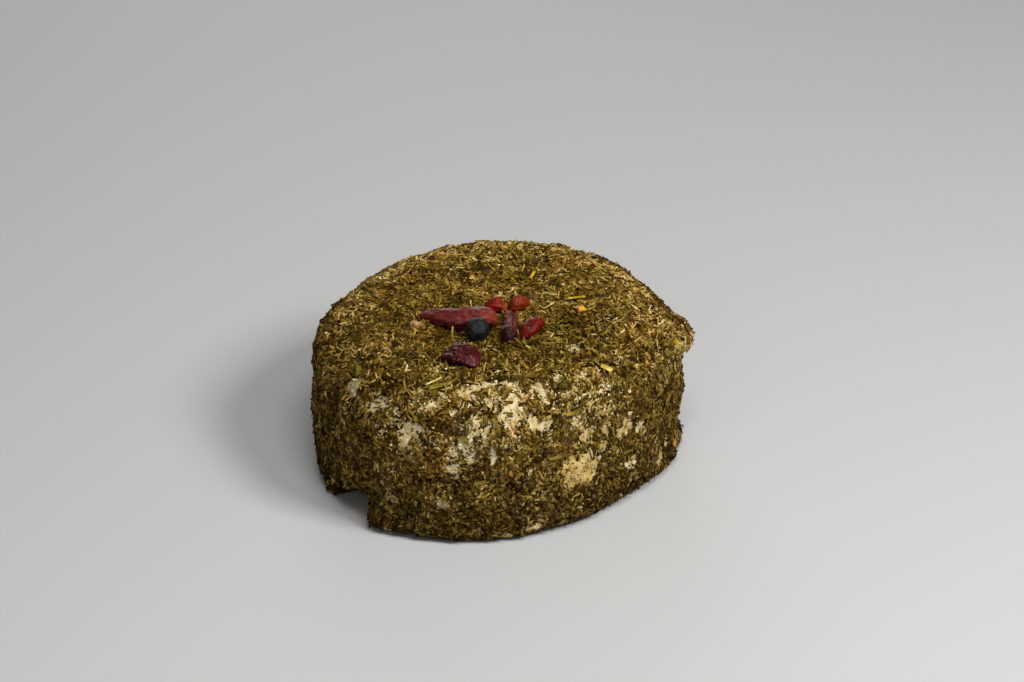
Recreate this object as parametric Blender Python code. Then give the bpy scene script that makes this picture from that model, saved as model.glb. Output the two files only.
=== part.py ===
"""A small round sheep's-milk cheese in a crust of dried herbs, with dried chillies and a juniper berry on it.

Run it with: blender --background --python part.py
Sizes are in metres, +Z is up, and the origin is the middle of the flat base.
"""

import math

import bmesh
import bpy
import numpy as np
from mathutils import Matrix, Vector
from mathutils.bvhtree import BVHTree

MM = 0.001

# ---- the cheese: driving dimensions ------------------------------------------------------------------
RADIUS = 55.4 * MM  # of the wall, before the uneven plan
HEIGHT = 46 * MM  # up to the ridge round the top
SHOULDER_REACH = 20.5 * MM  # how far in the rounded shoulder runs
SHOULDER_DROP = 15.5 * MM  # how far down it runs
FOOT_REACH = 4.5 * MM  # the rounding at the foot, inwards
FOOT_RISE = 5 * MM  # and upwards
BARREL = 0.6 * MM  # how far the wall swells at half height
TAPER = 0.6 * MM  # how much smaller the radius is at the top than at the foot
SLOPE = 0.014  # how the top falls towards the back
DISH_RADIUS = 33 * MM  # the sunken middle of the top
DISH_DEPTH = 3 * MM

# How the plan departs from a circle: waves round the rim, with a cosine and a sine share.
PLAN_WAVES = (
    (2, -1.3 * MM, 3.0 * MM),
    (3, 0.9 * MM, -0.3 * MM),
    (4, 0.4 * MM, -0.7 * MM),
)

# Local swellings of the wall: direction from +X in degrees and half-width in degrees, height of the middle,
# how far it fades upwards and downwards, and how far out it stands (inwards where negative).
SWELLINGS = (
    (2, 9.0, 7.6 * MM, 3.2 * MM, 2.6 * MM, -2.8 * MM),
    (-10, 16.0, 1.0 * MM, 5.0 * MM, 3.0 * MM, 1.8 * MM),
    (-60, 12.0, 1.0 * MM, 6.0 * MM, 3.0 * MM, 1.9 * MM),
    (-124, 7.0, 1.5 * MM, 5.0 * MM, 3.0 * MM, 2.4 * MM),
    (179, 20.0, 37.5 * MM, 7.0 * MM, 5.5 * MM, 2.2 * MM),
    (14, 13.0, 41.0 * MM, 6.0 * MM, 7.0 * MM, 3.0 * MM),
    (-97, 12.0, 4.0 * MM, 12.0 * MM, 4.0 * MM, 0.3 * MM),
    (-82, 9.0, 1.5 * MM, 6.0 * MM, 3.0 * MM, 1.1 * MM),
    (-157, 9.0, 4.0 * MM, 6.0 * MM, 3.0 * MM, 1.2 * MM),
    (60, 25.0, 26.0 * MM, 12.0 * MM, 12.0 * MM, -1.0 * MM),
    (150, 18.0, 20.0 * MM, 14.0 * MM, 14.0 * MM, 0.9 * MM),
)

# Torn flaps of crust that stand out like an eave. Direction, half the width in degrees; then a radius and a
# height each for the tip, the knuckle over it, the upper root and the lower root.
FLAPS = (
    (2, 14.0, (60.0 * MM, 34.2 * MM), (57.4 * MM, 38.9 * MM), (46.0 * MM, 45.2 * MM), (54.6 * MM, 32.6 * MM)),
    (1, 13.0, (57.3 * MM, 2.2 * MM), (54.3 * MM, 5.2 * MM), (50.0 * MM, 6.0 * MM), (48.0 * MM, 0.4 * MM)),
    (-150, 7.0, (57.8 * MM, 0.8 * MM), (55.6 * MM, 6.0 * MM), (52.0 * MM, 9.0 * MM), (51.0 * MM, 0.4 * MM)),
)
FLAP_STATIONS = 9

# Where a piece of the foot is broken away, so that the crust overhangs: direction and half-width in degrees,
# how high the ceiling is at the end with the smaller angle and at the other, and how far in the room runs.
BREAKS = (
    (-137.0, 9.4, 5.2 * MM, 11.4 * MM, 14 * MM),
    (-73, 4.0, 1.2 * MM, 2.6 * MM, 7 * MM),
    (-116, 3.0, 1.0 * MM, 1.6 * MM, 5 * MM),
    (38, 5.0, 2.4 * MM, 1.2 * MM, 7 * MM),
    (112, 7.0, 3.0 * MM, 2.0 * MM, 8 * MM),
    (171, 4.0, 1.4 * MM, 2.2 * MM, 6 * MM),
)
BREAK_STATIONS = 7

# Uneven relief: wavelength, depth and seed of each layer of lumps.
LUMPS = (
    (34 * MM, 0.75 * MM, 3),
    (13 * MM, 0.40 * MM, 5),
    (6.5 * MM, 0.22 * MM, 8),
)
LUMP_WAVES = 14  # plane waves in each layer
BASE_FADE = 6 * MM  # the relief fades out over this height, so the base stays flat

STEPS_ROUND = 64  # facets round the cheese
GAP = 0.3 * MM  # between a topping and what it rests on

# ---- the toppings ---------------------------------------------------------------------------------------
# Each pod: points of its middle line over the cheese with the half-width there (x, y, half-width, in mm),
# and how flat it is, height over width.
PODS = {
    "chilli_long": (
        ((-23.3, -5.8, 0.7), (-18.9, -8.2, 2.3), (-14.2, -10.1, 3.4), (-9.6, -10.5, 4.0),
         (-5.3, -9.6, 4.0), (-1.0, -8.8, 3.2), (1.3, -8.7, 1.5)),
        0.86,
    ),
    "chilli_red_end": (
        ((-3.2, -0.9, 1.2), (-1.1, -0.7, 2.3), (1.5, -0.5, 2.4), (3.2, -0.1, 1.4)),
        0.95,
    ),
    "chilli_orange_end": (
        ((3.9, 0.4, 1.2), (5.8, 1.1, 2.4), (8.1, 2.3, 2.2), (10.6, 4.5, 0.6)),
        0.90,
    ),
    "chilli_middle": (
        ((4.0, -2.7, 0.8), (4.4, -6.6, 2.0), (4.4, -11.4, 2.1), (4.2, -15.4, 2.2),
         (3.9, -18.8, 2.5), (3.7, -21.4, 1.4)),
        0.90,
    ),
    "chilli_right": (
        ((7.7, -19.4, 0.6), (9.3, -17.2, 2.3), (11.7, -13.9, 2.6), (14.1, -9.4, 1.0)),
        0.90,
    ),
    "chilli_front": (
        ((-15.9, -30.7, 0.7), (-13.2, -31.7, 3.3), (-9.9, -32.8, 4.7), (-6.7, -34.9, 3.5),
         (-4.9, -36.9, 1.0)),
        0.55,
    ),
}
POD_SIDES = 12
POD_STATIONS = 11
POD_CREASES = (3, 0.07, 5, 0.06)  # creases round the pod: count and depth, as a share, of two sets
POD_TWIST = 1.3  # radians by which the creases turn along the pod

BERRY_AT = (-5.1 * MM, -17.6 * MM)
BERRY_RADIUS = 3.55 * MM
BERRY_SQUASH = 0.94  # height over width
BERRY_DIMPLES = 0.035  # depth of its shrivelled skin, as a share of the radius

# ---- the largest herbs of the crust ---------------------------------------------------------------------
HERB_SEED = 11
GOLDEN_ANGLE = math.pi * (3 - math.sqrt(5))
TOP_HERBS = 82
WALL_HERBS = 86
NEEDLE = ((5.2 * MM, 8.2 * MM), (1.4 * MM, 2.0 * MM), (1.2 * MM, 1.6 * MM))  # length, width, thickness
LEAF_CHIP = ((3.2 * MM, 5.0 * MM), (2.2 * MM, 3.0 * MM), (1.0 * MM, 1.4 * MM))
CHIP_SHARE = 0.3  # of the herbs are leaf chips, the rest are needles
HERB_LEAN = 9.0  # degrees a piece may lean out of the surface
HERB_SUNK = 0.04  # how far its middle lies under the surface, as a share of its thickness
TOPPING_MARGIN = 1.0 * MM  # herbs keep this far from the toppings
TOP_EDGE = 47 * MM  # the top's herbs are strewn out to this radius
WALL_LOW, WALL_HIGH = 4 * MM, 38 * MM  # the wall's herbs lie between these heights
SEEDS = ((25.1, -2.0), (-22.8, -14.4))  # a pale chilli seed and a tan chip that lie clear on the top
SEED_SIZE = (2.6 * MM, 2.0 * MM, 1.5 * MM)

COLOURS = {  # base colour, roughness
    "cheese": ((0.130, 0.088, 0.026), 0.85),
    "chilli_long": ((0.165, 0.012, 0.014), 0.35),
    "chilli_red_end": ((0.330, 0.018, 0.010), 0.35),
    "chilli_orange_end": ((0.340, 0.045, 0.016), 0.38),
    "chilli_middle": ((0.110, 0.014, 0.010), 0.35),
    "chilli_right": ((0.270, 0.014, 0.012), 0.32),
    "chilli_front": ((0.120, 0.008, 0.014), 0.35),
    "juniper_berry": ((0.012, 0.016, 0.024), 0.60),
}


def clear_scene():
    for thing in list(bpy.data.objects):
        bpy.data.objects.remove(thing, do_unlink=True)


def finish(name):
    """The material of a named sub-part."""
    colour, roughness = COLOURS[name]
    material = bpy.data.materials.new(name)
    material.use_nodes = True
    shader = material.node_tree.nodes["Principled BSDF"]
    shader.inputs["Base Color"].default_value = (*colour, 1.0)
    shader.inputs["Roughness"].default_value = roughness
    shader.inputs["Metallic"].default_value = 0.0
    return material


def make_object(name, bm, collection=None):
    """Turns a bmesh into a smooth-shaded object."""
    bmesh.ops.recalc_face_normals(bm, faces=bm.faces)
    mesh = bpy.data.meshes.new(name)
    bm.to_mesh(mesh)
    bm.free()
    mesh.shade_smooth()
    thing = bpy.data.objects.new(name, mesh)
    (collection or bpy.context.scene.collection).objects.link(thing)
    return thing


# ---- the form of the cheese -----------------------------------------------------------------------------
def ease(share):
    """0 up to 0, 1 from 1 on, and smooth between."""
    share = np.clip(share, 0.0, 1.0)
    return share * share * (3 - 2 * share)


def degrees_apart(direction, middle):
    """Degrees from a named direction, the short way round, for directions in radians."""
    return (np.degrees(direction) - middle + 180) % 360 - 180


def lumps(points):
    """Smooth uneven relief: layers of plane waves in seeded random directions, added up."""
    total = np.zeros(len(points))
    for wavelength, depth, seed in LUMPS:
        random = np.random.RandomState(seed)
        ways = random.normal(size=(LUMP_WAVES, 3))
        ways /= np.linalg.norm(ways, axis=1)[:, None]
        pitch = 2 * math.pi / wavelength * random.uniform(0.7, 1.4, LUMP_WAVES)
        phases = random.uniform(0, 2 * math.pi, LUMP_WAVES)
        waves = np.sin(points @ (ways * pitch[:, None]).T + phases)
        total += depth * waves.sum(axis=1) / math.sqrt(LUMP_WAVES / 2) * 0.6
    return total


def half_section():
    """The half-section from the middle of the base to the middle of the top, as (r, z) points."""
    foot = [
        (RADIUS - FOOT_REACH + FOOT_REACH * math.sin(a), FOOT_RISE - FOOT_RISE * math.cos(a))
        for a in np.linspace(0, math.pi / 2, 5)
    ]
    wall_top = HEIGHT - SHOULDER_DROP
    wall = [
        (RADIUS + BARREL * math.sin(math.pi * t), FOOT_RISE + (wall_top - FOOT_RISE) * t)
        for t in np.linspace(0, 1, 8)[1:-1]
    ]
    shoulder = [
        (
            RADIUS - SHOULDER_REACH + SHOULDER_REACH * math.cos(a),
            wall_top + SHOULDER_DROP * math.sin(a),
        )
        for a in np.linspace(0, math.pi / 2, 9)
    ]
    dish = [
        (r, HEIGHT - DISH_DEPTH * (0.5 + 0.5 * math.cos(math.pi * r / DISH_RADIUS)))
        for r in np.array([31, 26, 21, 16, 11, 5.5, 0]) * MM
    ]
    base = [(r, 0.0) for r in np.array([0, 16, 30, 42]) * MM]
    return base + foot + wall + shoulder + dish


def uneven(points):
    """Moves points of the turned form to the uneven one: plan, taper, slope and swellings of the wall."""
    x, y, z = points.T
    radius, direction = np.hypot(x, y), np.arctan2(y, x)
    plan = sum(c * np.cos(n * direction) + s * np.sin(n * direction) for n, c, s in PLAN_WAVES)
    out = np.zeros_like(radius)
    for middle, width, height, up, down, depth in SWELLINGS:
        fade = np.where(z > height, up, down)
        across = degrees_apart(direction, middle) / width
        out += depth * np.exp(-(across**2) - ((z - height) / fade) ** 2)
    new_radius = radius * (1 + (plan - TAPER * z / HEIGHT) / RADIUS) + out * (radius / RADIUS) ** 4
    new_z = z * (1 - SLOPE * y / HEIGHT)
    return np.stack([new_radius * np.cos(direction), new_radius * np.sin(direction), new_z], axis=1)


def bare_cheese():
    """The cheese before its herbs: the half-section spun round, made uneven, and given its relief."""
    bm = bmesh.new()
    chain = [bm.verts.new((r, 0, z)) for r, z in half_section()]
    edges = [bm.edges.new(pair) for pair in zip(chain, chain[1:])]
    bmesh.ops.spin(
        bm,
        geom=chain + edges,
        cent=(0, 0, 0),
        axis=(0, 0, 1),
        angle=2 * math.pi,
        steps=STEPS_ROUND,
        use_merge=True,
    )
    bmesh.ops.remove_doubles(bm, verts=bm.verts, dist=0.05 * MM)
    bmesh.ops.recalc_face_normals(bm, faces=bm.faces)
    points = uneven(np.array([v.co for v in bm.verts]))
    for vertex, point in zip(bm.verts, points):
        vertex.co = point
    bm.normal_update()
    normals = np.array([v.normal for v in bm.verts])
    depth = lumps(points) * ease(points[:, 2] / BASE_FADE)
    for vertex, point in zip(bm.verts, points + normals * depth[:, None]):
        vertex.co = point
    bmesh.ops.triangulate(bm, faces=bm.faces)
    return bm


def bridged(rings):
    """A closed solid through rings of points with equally many points each."""
    bm = bmesh.new()
    loops = [[bm.verts.new(point) for point in ring] for ring in rings]
    for loop, following in zip(loops, loops[1:]):
        for k in range(len(loop)):
            n = (k + 1) % len(loop)
            bm.faces.new((loop[k], loop[n], following[n], following[k]))
    bm.faces.new(loops[0])
    bm.faces.new(loops[-1])
    bmesh.ops.recalc_face_normals(bm, faces=bm.faces)
    bmesh.ops.triangulate(bm, faces=bm.faces)
    return bm


def around(direction, radius, z):
    """A point given by its direction in degrees, radius and height."""
    a = math.radians(direction)
    return Vector((radius * math.cos(a), radius * math.sin(a), z))


def flap(name, collection, middle, half, tip, knuckle, upper, lower):
    """A torn flap of crust: a wedge whose edge runs out to the tip and back to the wall at both ends."""
    rings = []
    for s in np.linspace(-1, 1, FLAP_STATIONS):
        out = ease(1 - abs(s)) * (1 + 0.12 * math.sin(9 * s))
        direction = middle + half * s
        inner = 0.5 * (np.array(upper) + np.array(lower))
        edge, brow = (inner + (np.array(point) - inner) * (0.35 + 0.65 * out) for point in (tip, knuckle))
        top, low = (inner + (np.array(point) - inner) * (0.6 + 0.4 * out) for point in (upper, lower))
        rings.append([around(direction, *point) for point in (top, brow, edge, low)])
    make_object(name, bridged(rings), collection)


def broken_away(name, collection, middle, half, near, far, inwards):
    """The room left by a piece that broke off the foot: jagged, and open to below and outside."""
    rings = []
    for k, s in enumerate(np.linspace(-1, 1, BREAK_STATIONS)):
        ceiling = near + (far - near) * (s + 1) / 2
        jag = (0.10, -0.07, 0.05, -0.09, 0.08, -0.04, 0.10)[k % 7]
        height = ceiling * (1 - 0.25 * s**4) * (1 + jag)
        depth = inwards * (1 - 0.45 * s**2) * (1 - jag)
        direction = middle + half * s
        outside = RADIUS + 8 * MM
        section = (
            (RADIUS - depth, -2 * MM),
            (RADIUS - depth, 0.3 * height),
            (RADIUS - 0.6 * depth, 0.85 * height),
            (outside, 1.1 * height),
            (outside, -2 * MM),
        )
        rings.append([around(direction, *point) for point in section])
    make_object(name, bridged(rings), collection)


class Ground:
    """Where the surface of the cheese is."""

    def __init__(self, mesh):
        facets = [tuple(facet.vertices) for facet in mesh.polygons]
        self.tree = BVHTree.FromPolygons([v.co for v in mesh.vertices], facets)

    def top(self, x, y):
        """Height of the surface over a point of the plan."""
        place, normal, _, _ = self.tree.ray_cast(Vector((x, y, 2 * HEIGHT)), Vector((0, 0, -1)))
        return place, normal

    def wall(self, direction, z):
        """The wall's surface at a height, seen from outside."""
        way = Vector((math.cos(direction), math.sin(direction), 0))
        place, normal, _, _ = self.tree.ray_cast(way * (2 * RADIUS) + Vector((0, 0, z)), -way)
        return place, normal


# ---- making the toppings --------------------------------------------------------------------------------
def smooth_line(stops, count):
    """Points evenly along a smooth curve through the stops, as rows of x, y, half-width (Catmull-Rom)."""
    stops = np.array(stops) * MM
    ends = np.vstack([2 * stops[0] - stops[1], stops, 2 * stops[-1] - stops[-2]])
    rows = []
    for t in np.linspace(0, len(stops) - 1, count):
        k = min(int(t), len(stops) - 2)
        a, b, c, d = ends[k : k + 4]
        u = t - k
        rows.append(
            0.5 * (2 * b + (c - a) * u + (2 * a - 5 * b + 4 * c - d) * u**2 + (3 * b - a - 3 * c + d) * u**3)
        )
    return np.array(rows)


def pod(name, ground):
    """A dried chilli: creased rings along a line that lies on the cheese, bridged and closed at both ends."""
    stops, flatness = PODS[name]
    line = smooth_line(stops, POD_STATIONS)
    ways = np.gradient(line[:, :2], axis=0)
    crease_a, depth_a, crease_b, depth_b = POD_CREASES
    bm = bmesh.new()
    rings = []
    for k, ((x, y, half), (dx, dy)) in enumerate(zip(line, ways)):
        across = Vector((-dy, dx, 0)).normalized()
        turn = POD_TWIST * k / POD_STATIONS
        ring = []
        for side in range(POD_SIDES):
            a = 2 * math.pi * side / POD_SIDES
            crease = depth_a * math.cos(crease_a * a + turn) + depth_b * math.cos(crease_b * a - 2 * turn)
            r = half * (1 + crease)
            place = Vector((x, y, 0)) + across * (r * math.cos(a))
            floor, _ = ground.top(place.x, place.y)
            place.z = floor.z + GAP + half * flatness * 1.12 + r * flatness * math.sin(a)
            ring.append(bm.verts.new(place))
        rings.append(ring)
    for ring, following in zip(rings, rings[1:]):
        for k in range(POD_SIDES):
            n = (k + 1) % POD_SIDES
            bm.faces.new((ring[k], ring[n], following[n], following[k]))
    caps = [bm.faces.new(ring) for ring in (rings[0], rings[-1])]
    bmesh.ops.poke(bm, faces=caps)
    bmesh.ops.triangulate(bm, faces=bm.faces)
    thing = make_object(name, bm)
    thing.data.materials.append(finish(name))
    return [(Vector((x, y, 0)), half) for x, y, half in line]


def juniper_berry(ground):
    """A shrivelled dried berry, with the three-rayed furrow at its tip turned up and to the front."""
    bm = bmesh.new()
    bmesh.ops.create_uvsphere(bm, u_segments=14, v_segments=9, radius=BERRY_RADIUS)
    for vertex in bm.verts:
        x, y, z = vertex.co / BERRY_RADIUS
        around = math.atan2(y, x)
        furrow = math.exp(-((1 - z) / 0.12) ** 2) * (0.5 + 0.5 * math.cos(3 * around)) * 0.06
        dimple = BERRY_DIMPLES * math.sin(5.1 * x + 1) * math.sin(4.3 * y + 2) * math.sin(4.7 * z)
        vertex.co *= 1 + dimple - furrow
        vertex.co.z *= BERRY_SQUASH
    bmesh.ops.rotate(bm, verts=bm.verts, matrix=Matrix.Rotation(math.radians(35), 3, "X"))
    floor, _ = ground.top(*BERRY_AT)
    lowest = min(v.co.z for v in bm.verts)
    bmesh.ops.translate(bm, verts=bm.verts, vec=(*BERRY_AT, floor.z + GAP * 1.5 - lowest))
    bmesh.ops.triangulate(bm, faces=bm.faces)
    thing = make_object("juniper_berry", bm)
    thing.data.materials.append(finish("juniper_berry"))
    return [(Vector((*BERRY_AT, 0)), BERRY_RADIUS)]


# ---- the herbs ------------------------------------------------------------------------------------------
def spindle(name, collection, place, normal, turn, lean, size):
    """A herb piece of 24 facets, pointed at both ends, that lies on the surface at a place."""
    length, width, thickness = size
    along = normal.orthogonal().normalized()
    along = Matrix.Rotation(turn, 3, normal) @ along
    across = normal.cross(along)
    along = Matrix.Rotation(lean, 3, across) @ along
    up = along.cross(across)
    axes = Matrix((across * width, up * thickness, along * length)).transposed().to_4x4()
    middle = place - normal * (HERB_SUNK * thickness)
    bm = bmesh.new()
    bmesh.ops.create_uvsphere(
        bm, u_segments=4, v_segments=4, radius=0.5, matrix=Matrix.Translation(middle) @ axes
    )
    bmesh.ops.triangulate(bm, faces=bm.faces)
    make_object(name, bm, collection)


def clear_of(toppings, place, reach):
    """Whether a place on the top is further than reach from every topping."""
    flat = Vector((place.x, place.y, 0))
    return all((flat - middle).length > half + reach for middle, half in toppings)


def herb_places(ground, random):
    """Places and normals spread over the top and the wall by the golden angle, with a little jitter."""
    for k in range(TOP_HERBS):
        radius = TOP_EDGE * math.sqrt((k + 0.5) / TOP_HERBS)
        direction = k * GOLDEN_ANGLE + random.uniform(-0.05, 0.05)
        yield ground.top(radius * math.cos(direction), radius * math.sin(direction))
    for k in range(WALL_HERBS):
        height = WALL_LOW + (WALL_HIGH - WALL_LOW) * (k + 0.5) / WALL_HERBS
        direction = k * GOLDEN_ANGLE + random.uniform(-0.08, 0.08)
        yield ground.wall(direction, height + random.uniform(-1, 1) * MM)


def strew_herbs(ground, toppings, collection):
    """Needles, leaf chips and two seeds, each its own small solid, until the union makes them one crust."""
    random = np.random.RandomState(HERB_SEED)
    for x, y in SEEDS:
        place, normal = ground.top(x * MM, y * MM)
        spindle("seed", collection, place, normal, 0.4, 0.0, SEED_SIZE)
    for place, normal in herb_places(ground, random):
        kind = LEAF_CHIP if random.uniform() < CHIP_SHARE else NEEDLE
        size = [random.uniform(*span) for span in kind]
        turn = random.uniform(0, math.pi)
        lean = math.radians(random.uniform(-HERB_LEAN, HERB_LEAN))
        on_top = normal.z > 0.75
        if on_top and not clear_of(toppings, place, size[0] / 2 + TOPPING_MARGIN):
            continue
        if place.z < size[0] / 2 + 0.5 * MM:
            turn = 0.0  # low on the wall the piece lies level, clear of the base
        spindle("herb", collection, place, normal, turn, lean, size)


def joined(target, tools, operation):
    """Applies one Boolean with all the solids of a collection, and removes the collection."""
    modifier = target.modifiers.new("join", "BOOLEAN")
    modifier.operation = operation
    modifier.operand_type = "COLLECTION"
    modifier.collection = tools
    modifier.solver = "MANIFOLD"
    evaluated = target.evaluated_get(bpy.context.evaluated_depsgraph_get())
    mesh = bpy.data.meshes.new_from_object(evaluated)
    target.modifiers.clear()
    target.data = mesh
    for tool in list(tools.objects):
        bpy.data.objects.remove(tool, do_unlink=True)
    bpy.data.collections.remove(tools)


def new_collection(name):
    collection = bpy.data.collections.new(name)
    bpy.context.scene.collection.children.link(collection)
    return collection


def main():
    clear_scene()
    cheese = make_object("cheese", bare_cheese())
    cheese.data.materials.append(finish("cheese"))
    breaks = new_collection("breaks")
    for k, sizes in enumerate(BREAKS):
        broken_away(f"break_{k}", breaks, *sizes)
    joined(cheese, breaks, "DIFFERENCE")
    ground = Ground(cheese.data)
    toppings = [spot for name in PODS for spot in pod(name, ground)]
    toppings += juniper_berry(ground)
    crust = new_collection("crust")
    for k, sizes in enumerate(FLAPS):
        flap(f"flap_{k}", crust, *sizes)
    strew_herbs(ground, toppings, crust)
    joined(cheese, crust, "UNION")
    print(f"the crusted cheese has {len(cheese.data.polygons)} facets")


main()
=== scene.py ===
# %% [markdown]
# # A small sheep's cheese in a herb crust
# A young cheese of sheep's milk, as wide as a hand, is rolled in chopped dried herbs until they cover it.
# Dried chillies and one juniper berry lie in the dip of its top. The measured solids come from the packed
# part. Here each of them gets a detailed surface over it, worked out with numpy, and a node material.

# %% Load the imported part
import math

import bpy
import numpy as np
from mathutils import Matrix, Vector
from mathutils.bvhtree import BVHTree


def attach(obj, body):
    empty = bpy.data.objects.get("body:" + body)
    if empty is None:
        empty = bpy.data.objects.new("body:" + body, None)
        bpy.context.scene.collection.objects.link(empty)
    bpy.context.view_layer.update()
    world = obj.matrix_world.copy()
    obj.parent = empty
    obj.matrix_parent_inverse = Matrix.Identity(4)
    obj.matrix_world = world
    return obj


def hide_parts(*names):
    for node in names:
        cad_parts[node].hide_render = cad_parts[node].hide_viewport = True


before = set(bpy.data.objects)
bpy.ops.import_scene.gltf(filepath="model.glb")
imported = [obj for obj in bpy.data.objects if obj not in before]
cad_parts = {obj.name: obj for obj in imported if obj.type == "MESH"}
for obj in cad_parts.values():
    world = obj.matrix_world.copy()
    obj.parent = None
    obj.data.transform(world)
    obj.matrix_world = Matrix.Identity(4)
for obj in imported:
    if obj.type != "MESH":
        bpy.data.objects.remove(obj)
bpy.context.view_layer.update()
MM = 0.001
print("nodes:", sorted(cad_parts))

# %% [markdown]
# ## Camera and light
# The camera and the light come first, because every later step is judged through them. A long lens from
# a little above shows the top and the wall together. A warm lamp on the right shapes the cheese, a weak
# one from the front left opens its shadows, a soft one overhead lights the top, and a low one lights the
# back.


# %% Place the camera
def put(name, data):
    """A new object in the scene, made of the data."""
    thing = bpy.data.objects.new(name, data)
    bpy.context.scene.collection.objects.link(thing)
    return thing


CAMERA_HEIGHT_ANGLE = math.radians(32)
CAMERA_DISTANCE = 0.80166
VIEW_ANGLE = math.radians(22)
FRAME_WIDTH = 1024  # columns
SHIFT_RIGHT, SHIFT_UP = 17, 99  # columns
SENSOR_WIDTH = 36


def place_camera():
    """The camera looks along +Y and down at the middle of the base; the shift frames the cheese."""
    lens = bpy.data.cameras.new("camera")
    lens.sensor_width = SENSOR_WIDTH
    lens.lens = SENSOR_WIDTH / 2 / math.tan(VIEW_ANGLE / 2)
    lens.shift_x, lens.shift_y = SHIFT_RIGHT / FRAME_WIDTH, SHIFT_UP / FRAME_WIDTH
    camera = put("camera", lens)
    away = Vector((0, -math.cos(CAMERA_HEIGHT_ANGLE), math.sin(CAMERA_HEIGHT_ANGLE)))
    camera.location = away * CAMERA_DISTANCE
    camera.rotation_euler = (-away).to_track_quat("-Z", "Y").to_euler()
    bpy.context.scene.camera = camera
    return lens.lens


print(f"lens {place_camera():.1f} mm")


# %% Light it softly
LIT_PLACE = Vector((0, 0, 0.02))
STUDIO_WHITE = (1.0, 0.97, 0.92)
OVERHEAD_WHITE = (1.0, 0.98, 0.95)


def softbox(name, place, size, power, colour):
    """A square lamp that faces the cheese."""
    lamp = bpy.data.lights.new(name, "AREA")
    lamp.size, lamp.energy, lamp.color = size, power, colour
    thing = put(name, lamp)
    thing.location = place
    thing.rotation_euler = (LIT_PLACE - Vector(place)).to_track_quat("-Z", "Y").to_euler()


softbox("key_light", (0.55, -0.38, 0.66), 0.28, 8.1, STUDIO_WHITE)
softbox("front_light", (-0.40, -0.85, 0.60), 0.60, 1.2, STUDIO_WHITE)
softbox("top_light", (0.10, -0.40, 0.88), 0.40, 4.7, OVERHEAD_WHITE)
softbox("back_light", (-0.15, 1.05, 0.30), 0.60, 3.0, OVERHEAD_WHITE)
world = bpy.data.worlds.new("studio")
world.use_nodes = True
background = world.node_tree.nodes["Background"].inputs
background["Color"].default_value = (*STUDIO_WHITE, 1)
background["Strength"].default_value = 0.12
bpy.context.scene.world = world
bpy.context.scene.view_settings.view_transform = "Standard"
print("four soft lights and a pale studio")

# %% [markdown]
# ## A way to write materials
# A material is a net of small nodes. Written out by hand it is hard to read, so one small class lets the
# usual signs do the work: adding, subtracting or multiplying two values adds the Math node for it.


# %% Shader maths
class Value:
    """A node's output. Signs between values, or values and numbers, add Math nodes."""

    def __init__(self, finish, socket):
        self.finish, self.socket = finish, socket

    def maths(self, operation, *values):
        """A Math node that takes the values in turn."""
        return self.finish.node("ShaderNodeMath", {"operation": operation}, dict(enumerate(values)))

    def __add__(self, other):
        return self.maths("ADD", self, other)

    def __sub__(self, other):
        return self.maths("SUBTRACT", self, other)

    def __rsub__(self, other):
        return self.maths("SUBTRACT", other, self)

    def __mul__(self, other):
        return self.maths("MULTIPLY", self, other)

    __radd__, __rmul__ = __add__, __mul__

    def between(self, low, high):
        """0 below low, 1 above high, and a smooth step between them."""
        settings = {"interpolation_type": "SMOOTHSTEP"}
        return self.finish.node("ShaderNodeMapRange", settings, {"Value": self, 1: low, 2: high})


print("values can be added, subtracted and multiplied")


# %% A finish
def set_stops(elements, stops):
    """Gives a colour ramp its stops, each of them (position, red, green, blue)."""
    while len(elements) < len(stops):
        elements.new(0.5)
    for element, (position, *colour) in zip(elements, stops):
        element.position, element.color = position, (*colour, 1)


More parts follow.
